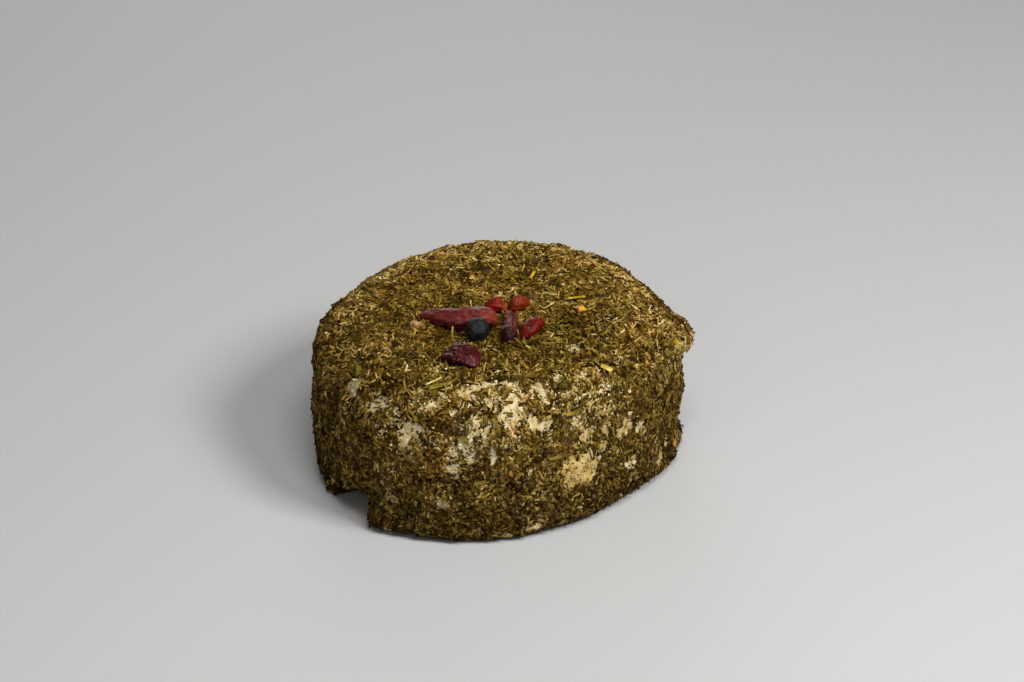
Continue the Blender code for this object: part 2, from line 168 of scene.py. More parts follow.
class Finish:
    """A material round a Principled shader, with constants for some of its sockets."""

    def __init__(self, name, **constants):
        self.material = bpy.data.materials.new(name)
        self.material.use_nodes = True
        self.tree = self.material.node_tree
        self.shader = self.tree.nodes["Principled BSDF"]
        for socket, value in constants.items():
            self.shader.inputs[socket.replace("_", " ")].default_value = value

    def node(self, kind, settings, inputs, output=0):
        """Adds a node: its settings or a ramp's stops first, then the values or links of its sockets."""
        node = self.tree.nodes.new(kind)
        for name, value in settings.items():
            if name == "stops":
                set_stops(node.color_ramp.elements, value)
            else:
                setattr(node, name, value)
        for name, value in inputs.items():
            if isinstance(value, Value):
                self.tree.links.new(value.socket, node.inputs[name])
            else:
                node.inputs[name].default_value = value
        return Value(self, node.outputs[output])

    def place(self, stretch=(1, 1, 1)):
        """Object coordinates in millimetres, divided along each axis by a stretch."""
        where = self.node("ShaderNodeTexCoord", {}, {}, "Object")
        scale = tuple(1000 / s for s in stretch)
        return self.node("ShaderNodeVectorMath", {"operation": "MULTIPLY"}, {0: where, 1: scale})

    def noise(self, size, detail=3.0, stretch=(1, 1, 1)):
        """Soft noise with lumps of a size in millimetres."""
        inputs = {"Vector": self.place(stretch), "Scale": 1 / size, "Detail": detail, "Roughness": 0.55}
        return self.node("ShaderNodeTexNoise", {}, inputs)

    def axes(self):
        """Where a point of the material is along x, y and z, in millimetres."""
        return [self.node("ShaderNodeSeparateXYZ", {}, {0: self.place()}, k) for k in range(3)]

    def distance(self, place):
        """How far a point of the material is from a place, in millimetres."""
        ends = {0: self.place(), 1: place}
        return self.node("ShaderNodeVectorMath", {"operation": "DISTANCE"}, ends, 1)

    def attribute(self, name):
        """A number that the mesh carries on its points."""
        return self.node("ShaderNodeAttribute", {"attribute_name": name}, {}, "Fac")

    def ramp(self, value, stops):
        """Colours along a value."""
        return self.node("ShaderNodeValToRGB", {"stops": stops}, {0: value})

    def mix(self, share, first, second, blend="MIX"):
        """From the first colour at share 0 to the second at 1."""
        first, second = ((*c, 1) if isinstance(c, tuple) else c for c in (first, second))
        settings = {"data_type": "RGBA", "blend_type": blend}
        return self.node("ShaderNodeMix", settings, {0: share, 6: first, 7: second}, 2)

    def stain(self, share, colour, dye):
        """A colour multiplied by another one, by a share."""
        return self.mix(share, colour, dye, "MULTIPLY")

    def tint(self, colour, amount):
        """A colour made lighter or darker by a value that is multiplied in."""
        grey = self.node("ShaderNodeCombineColor", {}, {0: amount, 1: amount, 2: amount})
        return self.stain(1.0, colour, grey)

    def feed(self, socket, value):
        """Links a value to a socket of the shader."""
        self.tree.links.new(value.socket, self.shader.inputs[socket])

    def bump(self, height, depth):
        """A Bump node from a height between 0 and 1, with its depth in millimetres."""
        inputs = {"Strength": 1.0, "Distance": depth * MM, "Height": height}
        self.feed("Normal", self.node("ShaderNodeBump", {}, inputs))


print("finishes can be made")

# %% [markdown]
# ## Making meshes from arrays
# A piece is worked out as whole numpy arrays, and its points and faces go into a mesh in one step. Every
# piece rides on the one body of this part, and may stand for one of its measured solids.


# %% From arrays to a piece
def new_piece(name, points, faces, finish, stands_for=None, marks=None, smooth=True):
    """A mesh from points and faces, with numbers on its points where marks names them."""
    mesh = bpy.data.meshes.new(name)
    mesh.from_pydata(points.tolist(), [], faces)
    for mark, numbers in (marks or {}).items():
        layer = mesh.attributes.new(mark, "FLOAT", "POINT")
        layer.data.foreach_set("value", np.ascontiguousarray(numbers, np.float32))
    if smooth:
        mesh.shade_smooth()
    else:
        mesh.shade_flat()
    mesh.materials.append(finish.material)
    piece = put(name, mesh)
    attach(piece, "root")
    if stands_for:
        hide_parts(stands_for)
    print(f"{name}: {len(mesh.loops) - 2 * len(mesh.polygons)} triangles")


def closed_rings(rings, first=None):
    """Points and faces of rings joined in turn; a point in the middle of its ring closes each end."""
    count, sides = rings.shape[:2]
    first = rings[0].mean(axis=0) if first is None else first
    points = np.vstack([rings.reshape(-1, 3), first, rings[-1].mean(axis=0)])
    a = np.arange(count * sides).reshape(count, sides)
    b = np.roll(a, -1, axis=1)
    quads = np.stack([a[:-1], b[:-1], b[1:], a[1:]], axis=-1).reshape(-1, 4).tolist()
    start, end = len(points) - 2, len(points) - 1
    fans = [(start, j, i) for i, j in zip(a[0], b[0])] + [(end, i, j) for i, j in zip(a[-1], b[-1])]
    return points, quads + [tuple(int(k) for k in fan) for fan in fans]


def directions(sides):
    """Even directions round a ring, in radians."""
    return np.arange(sides) * 2 * math.pi / sides


def to_round(points):
    """The radius, direction and height of points."""
    x, y, z = points.T
    return np.hypot(x, y), np.arctan2(y, x), z


def from_round(radius, direction, z):
    """Points from their radius, direction and height."""
    return np.stack([radius * np.cos(direction), radius * np.sin(direction), z + 0 * direction], axis=-1)


def ball_rings(rows, sides):
    """Rings of a ball of radius one, from its lowest to its highest, without the poles."""
    up = np.linspace(-math.pi / 2, math.pi / 2, rows + 2)[1:-1, None]
    return from_round(np.cos(up), directions(sides)[None], np.sin(up))


def unit(vectors):
    """Vectors divided by their lengths."""
    return vectors / np.maximum(np.linalg.norm(vectors, axis=-1, keepdims=True), 1e-12)


print("mesh helpers ready")

# %% [markdown]
# ## Two kinds of unevenness
# Real food is never smooth. Broad lumps come from adding waves in random directions. Fine grain comes
# from a block of random numbers that is read between its cells, which gives blots with ragged edges.


# %% Lumps and grain
LUMPS = (  # wavelength, depth, seed
    (34 * MM, 0.75 * MM, 3), (13 * MM, 0.40 * MM, 5), (6.5 * MM, 0.22 * MM, 8),
)
LUMP_WAVES = 14
GRAIN_CELLS = 32


def ease(share):
    """3 s^2 - 2 s^3 for s held between 0 and 1: a smooth step."""
    share = np.clip(share, 0.0, 1.0)
    return share * share * (3 - 2 * share)


def lumps(points):
    """Adds up sine waves, each with a random direction and phase and a wavelength near its layer's."""
    total = np.zeros(len(points))
    for wavelength, depth, seed in LUMPS:
        random = np.random.RandomState(seed)
        ways = unit(random.normal(size=(LUMP_WAVES, 3)))
        pitch = 2 * math.pi / wavelength * random.uniform(0.7, 1.4, LUMP_WAVES)
        phases = random.uniform(0, 2 * math.pi, LUMP_WAVES)
        waves = np.sin(points @ (ways * pitch[:, None]).T + phases)
        total += depth * waves.sum(axis=1) / math.sqrt(LUMP_WAVES / 2) * 0.6
    return total


def grain(points, size, seed, stretch=(1, 1, 1)):
    """Value noise from 0 to 1: random numbers on a lattice, blended between its eight nearest corners."""
    block = np.random.RandomState(seed).rand(GRAIN_CELLS, GRAIN_CELLS, GRAIN_CELLS)
    cells = points / (size * np.array(stretch))
    low = np.floor(cells).astype(int)
    x, y, z = ease(cells - low).T
    total = 0
    for dx, wx in ((0, 1 - x), (1, x)):
        for dy, wy in ((0, 1 - y), (1, y)):
            for dz, wz in ((0, 1 - z), (1, z)):
                i, j, k = ((low + (dx, dy, dz)) % GRAIN_CELLS).T
                total = total + wx * wy * wz * block[i, j, k]
    return total


def grains(points, *layers):
    """Grain of several sizes added up: a layer is its size in mm, seed, share and stretch upwards."""
    return sum(
        share * grain(points, size * MM, seed, (1, 1, stretch)) for size, seed, share, stretch in layers
    )


print(f"grain is about {grain(np.random.RandomState(1).rand(1000, 3), 0.01, 4).mean():.2f} on average")

# %% [markdown]
# ## The form of the cheese
# A cheese mould gives a round with steep sides. Drained and turned by hand it slumps: the shoulders grow
# soft, the middle of the top sinks, and the round turns a little square. So the form is one half-section
# turned round the middle, then pushed out of true by slow waves. The measured solid has the same form, and
# this grid is fine enough for the crust.

# %% Sizes of the cheese
RADIUS = 55.4 * MM
HEIGHT = 46 * MM
SHOULDER_REACH, SHOULDER_DROP = 20.5 * MM, 15.5 * MM
FOOT_REACH, FOOT_RISE = 4.5 * MM, 5 * MM
BARREL, TAPER, SLOPE = 0.6 * MM, 0.6 * MM, 0.014
DISH_RADIUS, DISH_DEPTH = 33 * MM, 3 * MM
PLAN_WAVES = (  # how many round the plan, cosine and sine part
    (2, -1.3 * MM, 3.0 * MM), (3, 0.9 * MM, -0.3 * MM), (4, 0.4 * MM, -0.7 * MM),
)
SWELLINGS = (  # middle and width in degrees; height, fade upwards and downwards, how far out, mm
    (2, 9, 7.6, 3.2, 2.6, -2.8),
    (-10, 16, 1, 5, 3, 1.8),
    (-60, 12, 1, 6, 3, 1.9),
    (-124, 7, 1.5, 5, 3, 2.4),
    (179, 20, 37.5, 7, 5.5, 2.2),
    (14, 13, 41, 6, 7, 3),
    (-97, 12, 4, 12, 4, 0.3),
    (-82, 9, 1.5, 6, 3, 1.1),
    (-157, 9, 4, 6, 3, 1.2),
    (60, 25, 26, 12, 12, -1),
    (150, 18, 20, 14, 14, 0.9),
)
FLAPS = (  # middle and half-width in degrees; tip, knuckle, upper and lower end: radius and height, mm
    (2, 14, (60, 34.2), (57.4, 38.9), (46, 45.2), (54.6, 32.6)),
    (1, 13, (57.3, 2.2), (54.3, 5.2), (50, 6), (48, 0.4)),
    (-150, 7, (57.8, 0.8), (55.6, 6), (52, 9), (51, 0.4)),
)
BREAKS = (  # middle and half-width in degrees; height at either end, how deep it goes, mm
    (-137, 9.4, 5.2, 11.4, 14),
    (-73, 4, 1.2, 2.6, 7),
    (-116, 3, 1, 1.6, 5),
    (38, 5, 2.4, 1.2, 7),
    (112, 7, 3, 2, 8),
    (171, 4, 1.4, 2.2, 6),
)
BREAK_JAGS = np.array((0.10, -0.07, 0.05, -0.09, 0.08, -0.04, 0.10))
BREAK_ROOF, ROOF_SLOPE = 0.85, 80 * MM
BREAK_LEFT = 0.03  # the share of the wall's step that is left, so that no facet folds
FLAP_START, FLAP_FADE = 36, 8  # mm from the middle: flaps push only what lies further out
FLAP_WAVE = 0.12
GRID_STEP = 0.74 * MM
GRID_AROUND = 440
BASE_RINGS = np.linspace(0.1, 0.96, 9)  # shares of the base's radius
BASE_FADE = 6 * MM
print(f"{2 * RADIUS / MM:.1f} mm across and {HEIGHT / MM:.0f} mm high, before it is made uneven")


# %% The half-section
def half_section():
    """Radius and height along it: flat base, elliptic foot, swelling wall, elliptic shoulder, dish."""
    a = np.linspace(0, math.pi / 2, 60)
    wall_top = HEIGHT - SHOULDER_DROP
    t = np.linspace(0, 1, 60)[1:-1]
    r = np.linspace(1, 0, 90)[1:] * (RADIUS - SHOULDER_REACH)
    dip = np.where(r < DISH_RADIUS, 0.5 + 0.5 * np.cos(math.pi * r / DISH_RADIUS), 0)
    foot = np.stack([RADIUS - FOOT_REACH * (1 - np.sin(a)), FOOT_RISE * (1 - np.cos(a))], 1)
    wall = np.stack([RADIUS + BARREL * np.sin(math.pi * t), FOOT_RISE + (wall_top - FOOT_RISE) * t], 1)
    shoulder = np.stack([RADIUS - SHOULDER_REACH * (1 - np.cos(a)), wall_top + SHOULDER_DROP * np.sin(a)], 1)
    dish = np.stack([r, HEIGHT - DISH_DEPTH * dip], 1)
    line = np.vstack([foot, wall, shoulder, dish])
    length = np.concatenate([[0], np.cumsum(np.linalg.norm(np.diff(line, axis=0), axis=1))])
    even = np.arange(0, length[-1] - 0.4 * GRID_STEP, GRID_STEP)
    line = np.stack([np.interp(even, length, line[:, k]) for k in (0, 1)], 1)
    base = np.stack([BASE_RINGS * (RADIUS - FOOT_REACH), 0 * BASE_RINGS], 1)
    return np.vstack([base, line])


section = half_section()
print(f"{len(section)} points from the middle of the base to the middle of the top")


# %% Uneven and torn
def degrees_apart(direction, middle):
    """How far a direction in radians is from a middle in degrees, the short way round."""
    return (np.degrees(direction) - middle + 180) % 360 - 180


def uneven(points):
    """A radius grows by the plan's waves and the swellings and shrinks with height; the top slopes."""
    radius, direction, z = to_round(points)
    plan = sum(c * np.cos(n * direction) + s * np.sin(n * direction) for n, c, s in PLAN_WAVES)
    out = np.zeros_like(radius)
    for middle, width, *sizes in SWELLINGS:
        height, up, down, depth = (size * MM for size in sizes)
        fade = np.where(z > height, up, down)
        out += depth * np.exp(
            -((degrees_apart(direction, middle) / width) ** 2) - ((z - height) / fade) ** 2
        )
    new_radius = radius * (1 + (plan - TAPER * z / HEIGHT) / RADIUS) + out * (radius / RADIUS) ** 4
    return from_round(new_radius, direction, z * (1 - SLOPE * points[:, 1] / HEIGHT))


def torn(points):
    """Pushes the wall, not the dish, out to each flap's edge, and in to each break's back wall."""
    radius, direction, z = to_round(points)
    for middle, half, tip, knuckle, upper, lower in FLAPS:
        s = np.clip(degrees_apart(direction, middle) / half, -1, 1)
        out = ease(1 - np.abs(s)) * (1 + FLAP_WAVE * np.sin(9 * s))
        out = out * ease((radius / MM - FLAP_START) / FLAP_FADE)
        reach, level = np.array([lower, tip, knuckle, upper]).T * MM
        edge = np.interp(z, level, reach, left=0, right=0)
        radius = radius + np.maximum(edge - radius, 0) * out
    for middle, half, *sizes in BREAKS:
        near, far, inwards = (size * MM for size in sizes)
        s = degrees_apart(direction, middle) / half
        jag = np.interp(s, np.linspace(-1, 1, 7), BREAK_JAGS)
        height = (near + (far - near) * (s + 1) / 2) * (1 - 0.25 * np.clip(s, -1, 1) ** 4) * (1 + jag)
        depth = inwards * (1 - 0.45 * np.clip(s, -1, 1) ** 2) * (1 - jag)
        back = RADIUS - depth * (1 - 0.4 * ease((z / height - 0.3) / 0.55))
        roof = RADIUS - 0.6 * depth + (z / height - BREAK_ROOF) * ROOF_SLOPE
        back = np.where(z > BREAK_ROOF * height, roof, back)
        inside = (np.abs(s) < 1) & (radius > back)
        radius = np.where(inside, back + BREAK_LEFT * (radius - back), radius)
    return from_round(radius, direction, z)


print(f"{len(SWELLINGS)} swellings, {len(FLAPS)} flaps and {len(BREAKS)} breaks")


# %% Turn the section
def grid_normals(grid):
    """The cross product of the steps round the grid and up the grid, made unit length."""
    round_step = np.roll(grid, -1, axis=1) - np.roll(grid, 1, axis=1)
    up_step = np.gradient(grid, axis=0)
    return unit(np.cross(round_step, up_step))


def along_normals(grid, depth):
    """Moves each point of a grid along its normal by its depth."""
    return grid + grid_normals(grid) * depth.reshape(grid.shape[:2])[..., None]


turned = from_round(section[:, :1], directions(GRID_AROUND), section[:, 1:])
form = uneven(turned.reshape(-1, 3))
form = along_normals(form.reshape(turned.shape), lumps(form) * ease(form[:, 2] / BASE_FADE))
form = torn(form.reshape(-1, 3)).reshape(turned.shape)
form[..., 2] = np.maximum(form[..., 2], 0)
form_points = form.reshape(-1, 3)
print(f"{form.shape[0]} rings of {form.shape[1]} points, {form[..., 2].max() / MM:.1f} mm high")

# %% [markdown]
# ## Where the paste shows through
# The herbs don't stick evenly. They lie thick on the top and thin out below the rim, where the wall was
# handled, and there the cream-coloured paste shows in ragged upright blots. A number between 0 and 1 on
# every point of the form says how bare it is. It thins the herbs there, and colours the paste.

# %% Bare places
BARE_PLACES = (  # x, y, z of its middle, half-width, half-height, how clear, how tan; millimetres
    (-41.1, -34.6, 39.7, 2.4, 2, 1.3, 0.1), (-35.1, -40.5, 40.9, 0.8, 0.8, 1.2, 0.2),
    (-33.2, -44.3, 40.2, 2.5, 1.5, 1.3, 0.1), (-34.8, -45.1, 38.5, 1.3, 0.9, 1.3, 0.2),
    (-28.8, -49.3, 39.3, 0.9, 1.3, 1.1, 0.3), (-27.3, -51.8, 36.5, 0.9, 2, 0.5, 0.6),
    (-24.4, -53.4, 35.7, 1.7, 2.4, 1.3, 0.1), (-22, -54.3, 36.6, 1.1, 2, 1, 0.1),
    (-25.8, -54.4, 31.3, 1.5, 2.7, 0.9, 0.7), (-24.2, -55.1, 28.3, 1.4, 2.7, 0.8, 0.6),
    (-20.8, -55.7, 31.3, 1.3, 1.5, 0.5, 0.6), (-21.2, -57.1, 26.1, 0.8, 1.9, 0.5, 0.1),
    (-15.8, -57.2, 33.7, 0.9, 2, 0.6, 0.2), (-12.5, -57.5, 31.3, 0.9, 1.5, 0.5, 0.1),
    (-11.7, -58.2, 27.6, 1.3, 1.5, 0.9, 0), (-11.8, -58.5, 24.6, 0.9, 1.2, 1.2, 0.4),
    (-29, -53.1, 23.8, 0.9, 1.5, 0.5, 0.2), (-18.2, -48.9, 42.4, 1.6, 1.2, 1, 0.6),
    (-15.2, -46.7, 43.4, 1.2, 1.2, 0.8, 0.3), (-9.1, -44.8, 44.6, 1.6, 1.9, 1, 0.8),
    (-5.1, -44.2, 45.2, 1.6, 0.8, 1, 0.3), (-7.8, -48.9, 42.9, 1.4, 1.9, 0.5, 0.6),
    (-11.2, -51.3, 41.2, 1.1, 1.9, 0.8, 0.2), (-9.5, -54.8, 38.3, 0.8, 0.8, 0.9, 0.2),
    (-5.4, -54.7, 39.3, 1.2, 1.9, 0.9, 0.3), (-7.4, -57.1, 33.6, 2.1, 2.7, 0.6, 0.1),
    (-5.7, -57.5, 29.1, 1.7, 1.9, 0.7, 0.1), (-31.7, -51, 16.2, 1.8, 1.3, 0.9, 0.9),
    (-30.1, -51.6, 12.5, 3.2, 1.1, 0.9, 0.9), (-15.2, -57.7, 14, 1.7, 1.1, 1.1, 0.2),
    (-10.9, -57.7, 12.5, 1.3, 1.1, 0.7, 0.2), (-31, -51.4, 1.5, 1.3, 1.1, 0.9, 0.4),
    (-37.1, -46.8, 15.5, 1.2, 1.1, 0.4, 0.1), (-52.5, -13.9, 6.5, 2.3, 1.3, 0.6, 0.8),
    (5.7, -44.1, 44.6, 1.3, 2.2, 0.9, 0.5), (4.8, -47.9, 43.1, 1.4, 2.6, 1, 0.3),
    (5.9, -50.6, 40.8, 1.9, 2.3, 1.2, 0.2), (3.7, -52.1, 39.5, 1.9, 1.9, 1.3, 0.4),
    (12.9, -43.8, 43.4, 1.4, 2.4, 1.3, 0.4), (17.5, -38.2, 44.6, 1, 1.1, 1.2, 0.4),
    (0, -46.3, 44.3, 1.3, 1.1, 0.7, 0.5), (3.1, -42.8, 45.3, 2.8, 0.9, 1.1, 0.6),
    (10.8, -50.4, 36.6, 1.1, 1.8, 1, 0.5), (13.7, -49.7, 35.4, 1.9, 1.4, 1.1, 0.4),
    (21.6, -45.8, 34.8, 1.1, 1.2, 0.5, 0.5), (23.1, -45.5, 32.7, 1.6, 1.5, 1.1, 0.7),
    (26.4, -43.9, 29, 2.3, 1.9, 0.7, 0.8), (20.9, -42.4, 41.2, 1.1, 1.2, 1, 0.4),
    (29.3, -38, 39.4, 1.6, 1.6, 0.8, 0.6), (32.3, -36.2, 39.8, 1.1, 1.2, 0.7, 0.6),
    (27.3, -41.1, 37.6, 0.8, 2, 0.7, 0.8), (32.1, -39.2, 34.2, 1.5, 1.9, 0.9, 0.7),
    (31.8, -40, 28.2, 2, 2.3, 0.8, 0.8), (38.2, -34, 26.6, 1.5, 2.6, 1.2, 0.7),
    (36.3, -36.2, 24.4, 2.8, 1.9, 0.8, 0.8), (42.3, -30.7, 23.6, 2, 1.5, 1, 0.2),
    (30.8, -41.1, 23, 1.7, 1.5, 1, 0.7), (25.9, -44.4, 27.5, 2, 1.5, 1, 0.7),
    (26, -45.9, 20.8, 4.5, 2.3, 1.2, 1), (24.7, -46.7, 17, 4.8, 3, 1, 1),
    (21.8, -48.2, 20.2, 2.2, 2.6, 1.3, 1), (27.6, -44.4, 16, 2.6, 2, 1.2, 1),
    (21.4, -48.6, 14.8, 2.1, 1.5, 0.8, 1), (29.1, -42.6, 18.5, 2.8, 1.9, 0.9, 1),
    (40, -33.7, 13.2, 2.4, 2.3, 0.8, 0.6), (10.6, -53.1, 22.3, 2.5, 1.5, 0.6, 0.2),
    (-0.7, -57.2, 29.9, 0.8, 1.9, 1.1, 0.1), (-3.2, -57.3, 33.7, 1.7, 2.3, 0.4, 0.2),
    (-2.3, -55.2, 38, 1.2, 1.6, 0.8, 0.4), (10, -53.7, 16.3, 1.6, 0.8, 0.6, 0.6),
    (13.1, -52.8, 7.3, 1.6, 1.5, 0.8, 0.3), (24.8, -46.9, 5.8, 1.2, 1.9, 0.8, 0.6),
    (48.7, -21.3, 7.9, 2.2, 3, 1, 0.7), (50.9, -16.6, 9.8, 1.8, 2.4, 0.8, 0.5),
    (45.6, -26.2, 5, 1.6, 1.4, 0.7, 0.9), (55, -9, 4, 2, 2.4, 0.8, 1), (41.5, -33.5, 3, 1.4, 1, 0.6, 1),
    (53.5, -5, 36.8, 1.4, 1.6, 0.9, 1), (58, 2.5, 38.6, 1.2, 1.6, 0.8, 1), (59.3, 2, 35.8, 1.6, 2.2, 1, 1),
    (11, -53.3, 3.8, 3, 1.4, 0.8, 0.6), (17.5, -51, 2.5, 2, 1.1, 0.4, 0.9),
    (25.9, -35.6, 43.5, 1.3, 3.1, 0.8, 0.9), (44.9, -22.9, 38.8, 1.2, 1.8, 0.6, 0.3),
    (23.2, -23.2, 46.1, 1.4, 2.3, 1.3, 0.4), (-38, 42, 30, 3.5, 4, 0.8, 0.5), (6, 56, 22, 3, 5, 0.7, 0.4),
    (40, 38, 33, 2.5, 3.5, 0.7, 0.6), (-52, 22, 20, 3, 4.5, 0.7, 0.3),
    (-25, -54.8, 27.6, 1.5, 3, 0.8, 0.7),
    (-5.7, -57.6, 31.3, 2.1, 2.7, 0.7, 0.2), (-47.6, -31.6, 4.6, 3, 2, 0.9, 1),
    (3.9, -55.3, 1.7, 1.3, 1.1, 0.9, 0.2), (-39.4, -31.4, 41.7, 1.9, 2.1, 0.9, 0.2),
    (3.7, -42.6, 45.3, 1.2, 1.5, 1.1, 0.3), (7.3, -46.1, 43.2, 1.7, 1.9, 0.9, 0.3),
    (11.5, -43.7, 43.6, 1.6, 1.9, 1, 0.3), (-6.8, -46.8, 43.7, 1.4, 1.1, 1, 0.6),
    (-3.1, -43.2, 45.2, 1.3, 1.1, 1.1, 0.3), (22.7, -47.8, 17.8, 2.1, 2.7, 1.3, 1),
    (21.5, 24.8, 45.4, 3, 1.6, 0.7, 0.9), (15.4, 30.3, 45.1, 1.6, 1, 0.6, 0.9),
)
print(f"{len(BARE_PLACES)} places of bare or pale paste")

# %% How bare each place is
THIN_SIDES = ((-80, 46, 1.0), (115, 40, 0.6))  # middle and spread in degrees, how thin the herbs are
THIN_BAND = ((19, 18), (45.7, 2.5), (37, 5))  # mm: lower, upper and inner edge, each with its fade


def bareness(points):
    """Clear is the highest of the listed places, which fall off with the square of the distance, and of the
    spots of a mottle. Bare is clear with ragged grain added, eased to run from 0 to 1. Pale is the same but
    wider in the thin band. Tan is the mean of the listed places, weighted by nearness."""
    x, y, z = points.T / MM
    direction = np.arctan2(y, x)
    ragged = grains(points, (2.3, 20, 0.40, 1.6), (1.0, 21, 0.45, 1.6), (0.5, 22, 0.35, 1.6)) - 0.10
    place = np.full(len(points), -1.0)
    warmth, weight = np.full(len(points), 0.05), np.full(len(points), 0.1)
    for *middle, half_width, half_height, clear, warm in BARE_PLACES:
        away = points / MM - middle
        sideways = (away[:, 1] * middle[0] - away[:, 0] * middle[1]) / math.hypot(*middle[:2])
        upwards = (away**2).sum(axis=1) - sideways**2
        near = (sideways / (half_width + 0.6)) ** 2 + upwards / (half_height + 0.6) ** 2
        place = np.maximum(place, 1.9 * clear - 0.65 - 0.95 * near)
        share = np.exp(-near / 3)
        warmth, weight = warmth + share * warm, weight + share
    sides = (s * np.exp(-((degrees_apart(direction, middle) / w) ** 4)) for middle, w, s in THIN_SIDES)
    front = np.maximum(*sides)
    (low, low_fade), (high, high_fade), (inner, inner_fade) = THIN_BAND
    band = ease((z - low) / low_fade) * ease((high - z) / high_fade)
    band = band * ease((np.hypot(x, y) - inner) / inner_fade)
    mottle = grains(points, (1.5, 23, 0.55, 1.6), (4.5, 24, 0.45, 1.4))
    spots = (mottle - 0.65) * 4.2 + (0.25 + 0.75 * front) * band - 0.74
    clear = np.maximum(place, spots)
    bare = ease((clear + (ragged - 0.5) * 2.2) / 0.6)
    pale = ease((clear + (0.15 + 0.85 * front) * band * 0.75 + (ragged - 0.5) * 1.6 + 0.05) / 0.8)
    return bare, pale, warmth / weight


bare, pale, tan = bareness(form_points)
print(f"{bare.mean() * 100:.0f} % of the form is bare, and {pale.mean() * 100:.0f} % is pale")

# %% [markdown]
# ## Paste and crust ground
# Under the herbs the paste is stained brown by their oil, and it is painted darker still as the shade in the
# gaps between the herbs. Where it lies bare it is cream or tan. It is lumpy where herbs are pressed in, so
# it is raised and roughened there, and the bare paste stays a little lower. All of it lies a little under
# the measured surface, which the herbs reach.

# %% The ground of the crust
GROUND_THICKNESS = 0.35 * MM
GROUND_SUNK = 0.75 * MM
BARE_GRAIN = 0.18 * MM

clumps = grains(form_points, (2.4, 31, 0.6, 1), (1.1, 32, 0.4, 1))
raised = GROUND_THICKNESS * (1 - bare) * (0.3 + 1.4 * clumps) + BARE_GRAIN * bare * (clumps - 0.5)
ground = along_normals(form, (raised - GROUND_SUNK) * ease(form[..., 2].ravel() / (2 * MM)))
ground[..., 2] = np.maximum(ground[..., 2], 0)
print(f"the ground lies {(GROUND_SUNK - raised.min()) / MM:.2f} mm deep at most")

# %% The finish of the paste
BLUSHES = (  # orange stains: middle and size, mm
    ((9.3, -46.4, 42.1), 3.2), ((6.0, -52.8, 36.9), 3.4), ((59.3, 2.0, 35.8), 3.6),
    ((53.5, -5.0, 36.8), 2.4), ((55.0, -9.0, 4.0), 3.4),
)
COOL_CREAM = ((0.32, 0.23, 0.165, 0.06), (0.5, 0.52, 0.45, 0.27), (0.68, 0.70, 0.63, 0.47))
WARM_CREAM = ((0.32, 0.27, 0.165, 0.035), (0.5, 0.46, 0.32, 0.10), (0.68, 0.58, 0.45, 0.19))
# Stained paste, painted darker still as the shade in the gaps between the herbs.
STAINED_AND_SHADED = ((0.3, 0.009, 0.004, 0.0), (0.55, 0.029, 0.014, 0.001), (0.75, 0.10, 0.058, 0.009))


def paste_finish():
    """Cream or tan paste in the pale places and, elsewhere, stained paste painted darker as the shade
    between the herbs, with ragged borders.
    """
    finish = Finish("herb_stained_shaded_paste", Specular_IOR_Level=0.08)
    ragged = finish.noise(0.5, 4.0, (1, 1, 1.5))
    shown = (finish.attribute("pale") + (ragged - 0.5) * 1.2).between(0.30, 0.72)
    mottle = finish.noise(1.8, 4.0, (1, 1, 1.6))
    cool, warm = finish.ramp(mottle, COOL_CREAM), finish.ramp(mottle, WARM_CREAM)
    cream = finish.mix(finish.attribute("tan"), cool, warm)
    stained_and_shaded = finish.ramp(finish.noise(0.9, 4.0), STAINED_AND_SHADED)
    speck = finish.noise(0.45, 2.0).between(0.62, 0.70)
    blush = sum(1 - finish.distance(at).between(0.5, size) for at, size in BLUSHES)
    cream = finish.stain(blush * ragged.between(0.36, 0.60) * 1.6, cream, (0.80, 0.40, 0.09))
    finish.feed("Base Color", finish.mix(shown * (1 - speck * 0.75), stained_and_shaded, cream))
    finish.feed("Roughness", 0.85 - shown * 0.2)
    finish.bump(finish.noise(0.5, 3.0), 0.22)
    return finish


points, faces = closed_rings(ground, (0, 0, 0))
marks = {"pale": np.concatenate([pale, (0, pale[-1])]), "tan": np.concatenate([tan, (0, tan[-1])])}
new_piece("crust_ground", points, faces, paste_finish(), "cheese", marks)

# %% [markdown]
# ## Chopped herbs
# The crust is about eighty thousand bits: cut needles, stalks, leaf flakes and dust, few of them longer
# than four millimetres. A hair system would also strew them, but plain meshes keep their true size and
# export as they are. Each kind is one mesh: one small shape is worked out once, and numpy turns, sizes and
# places all its copies at the same time. The shapes have only eight facets, because there are so many.


# %% Places on the ground
CLUMP_EDGE = 0.16
next_round = np.roll(ground, -1, axis=1)
cell_corners = a, b, c, d = (ground[:-1], next_round[:-1], next_round[1:], ground[1:])
cell_area = np.linalg.norm(np.cross(c - a, d - b), axis=2)
cell_bottom = np.minimum(a, c)[..., 2]
cell_normals = grid_normals(form)[:-1]


def per_cell(numbers):
    """Numbers of the points as numbers of the cells, from each cell's first corner."""
    return numbers.reshape(form.shape[:2])[:-1]


bare_cells, pale_cells = per_cell(bare), per_cell(pale)


def along_surface(way, normal):
    """A way less its part along the normal, so that it lies in the surface, as a unit vector."""
    return unit(way - normal * (way * normal).sum(axis=1, keepdims=True))


def strewn(count, seed, weight):
    """Draws cells by area times weight, and a random spot in each, with its normal and upward way."""
    random = np.random.RandomState(seed)
    chance = (cell_area * weight(cell_bottom, cell_normals[..., 2])).ravel()
    cells = random.choice(chance.size, size=count, p=chance / chance.sum())
    u, v = random.rand(2, count, 1)
    a, b, c, d = (corner.reshape(-1, 3)[cells] for corner in cell_corners)
    places = (a * (1 - u) + b * u) * (1 - v) + (d * (1 - u) + c * u) * v
    normal = cell_normals.reshape(-1, 3)[cells]
    return places, normal, along_surface(d - a, normal), random


def on_crust(z, facing_up):
    """Everywhere above the base, thinner where the paste is pale, and hardly at all where it is bare."""
    return (facing_up > -0.5) * (z > 0.2 * MM) * (1 - 0.97 * bare_cells) * (1 - 0.50 * pale_cells)


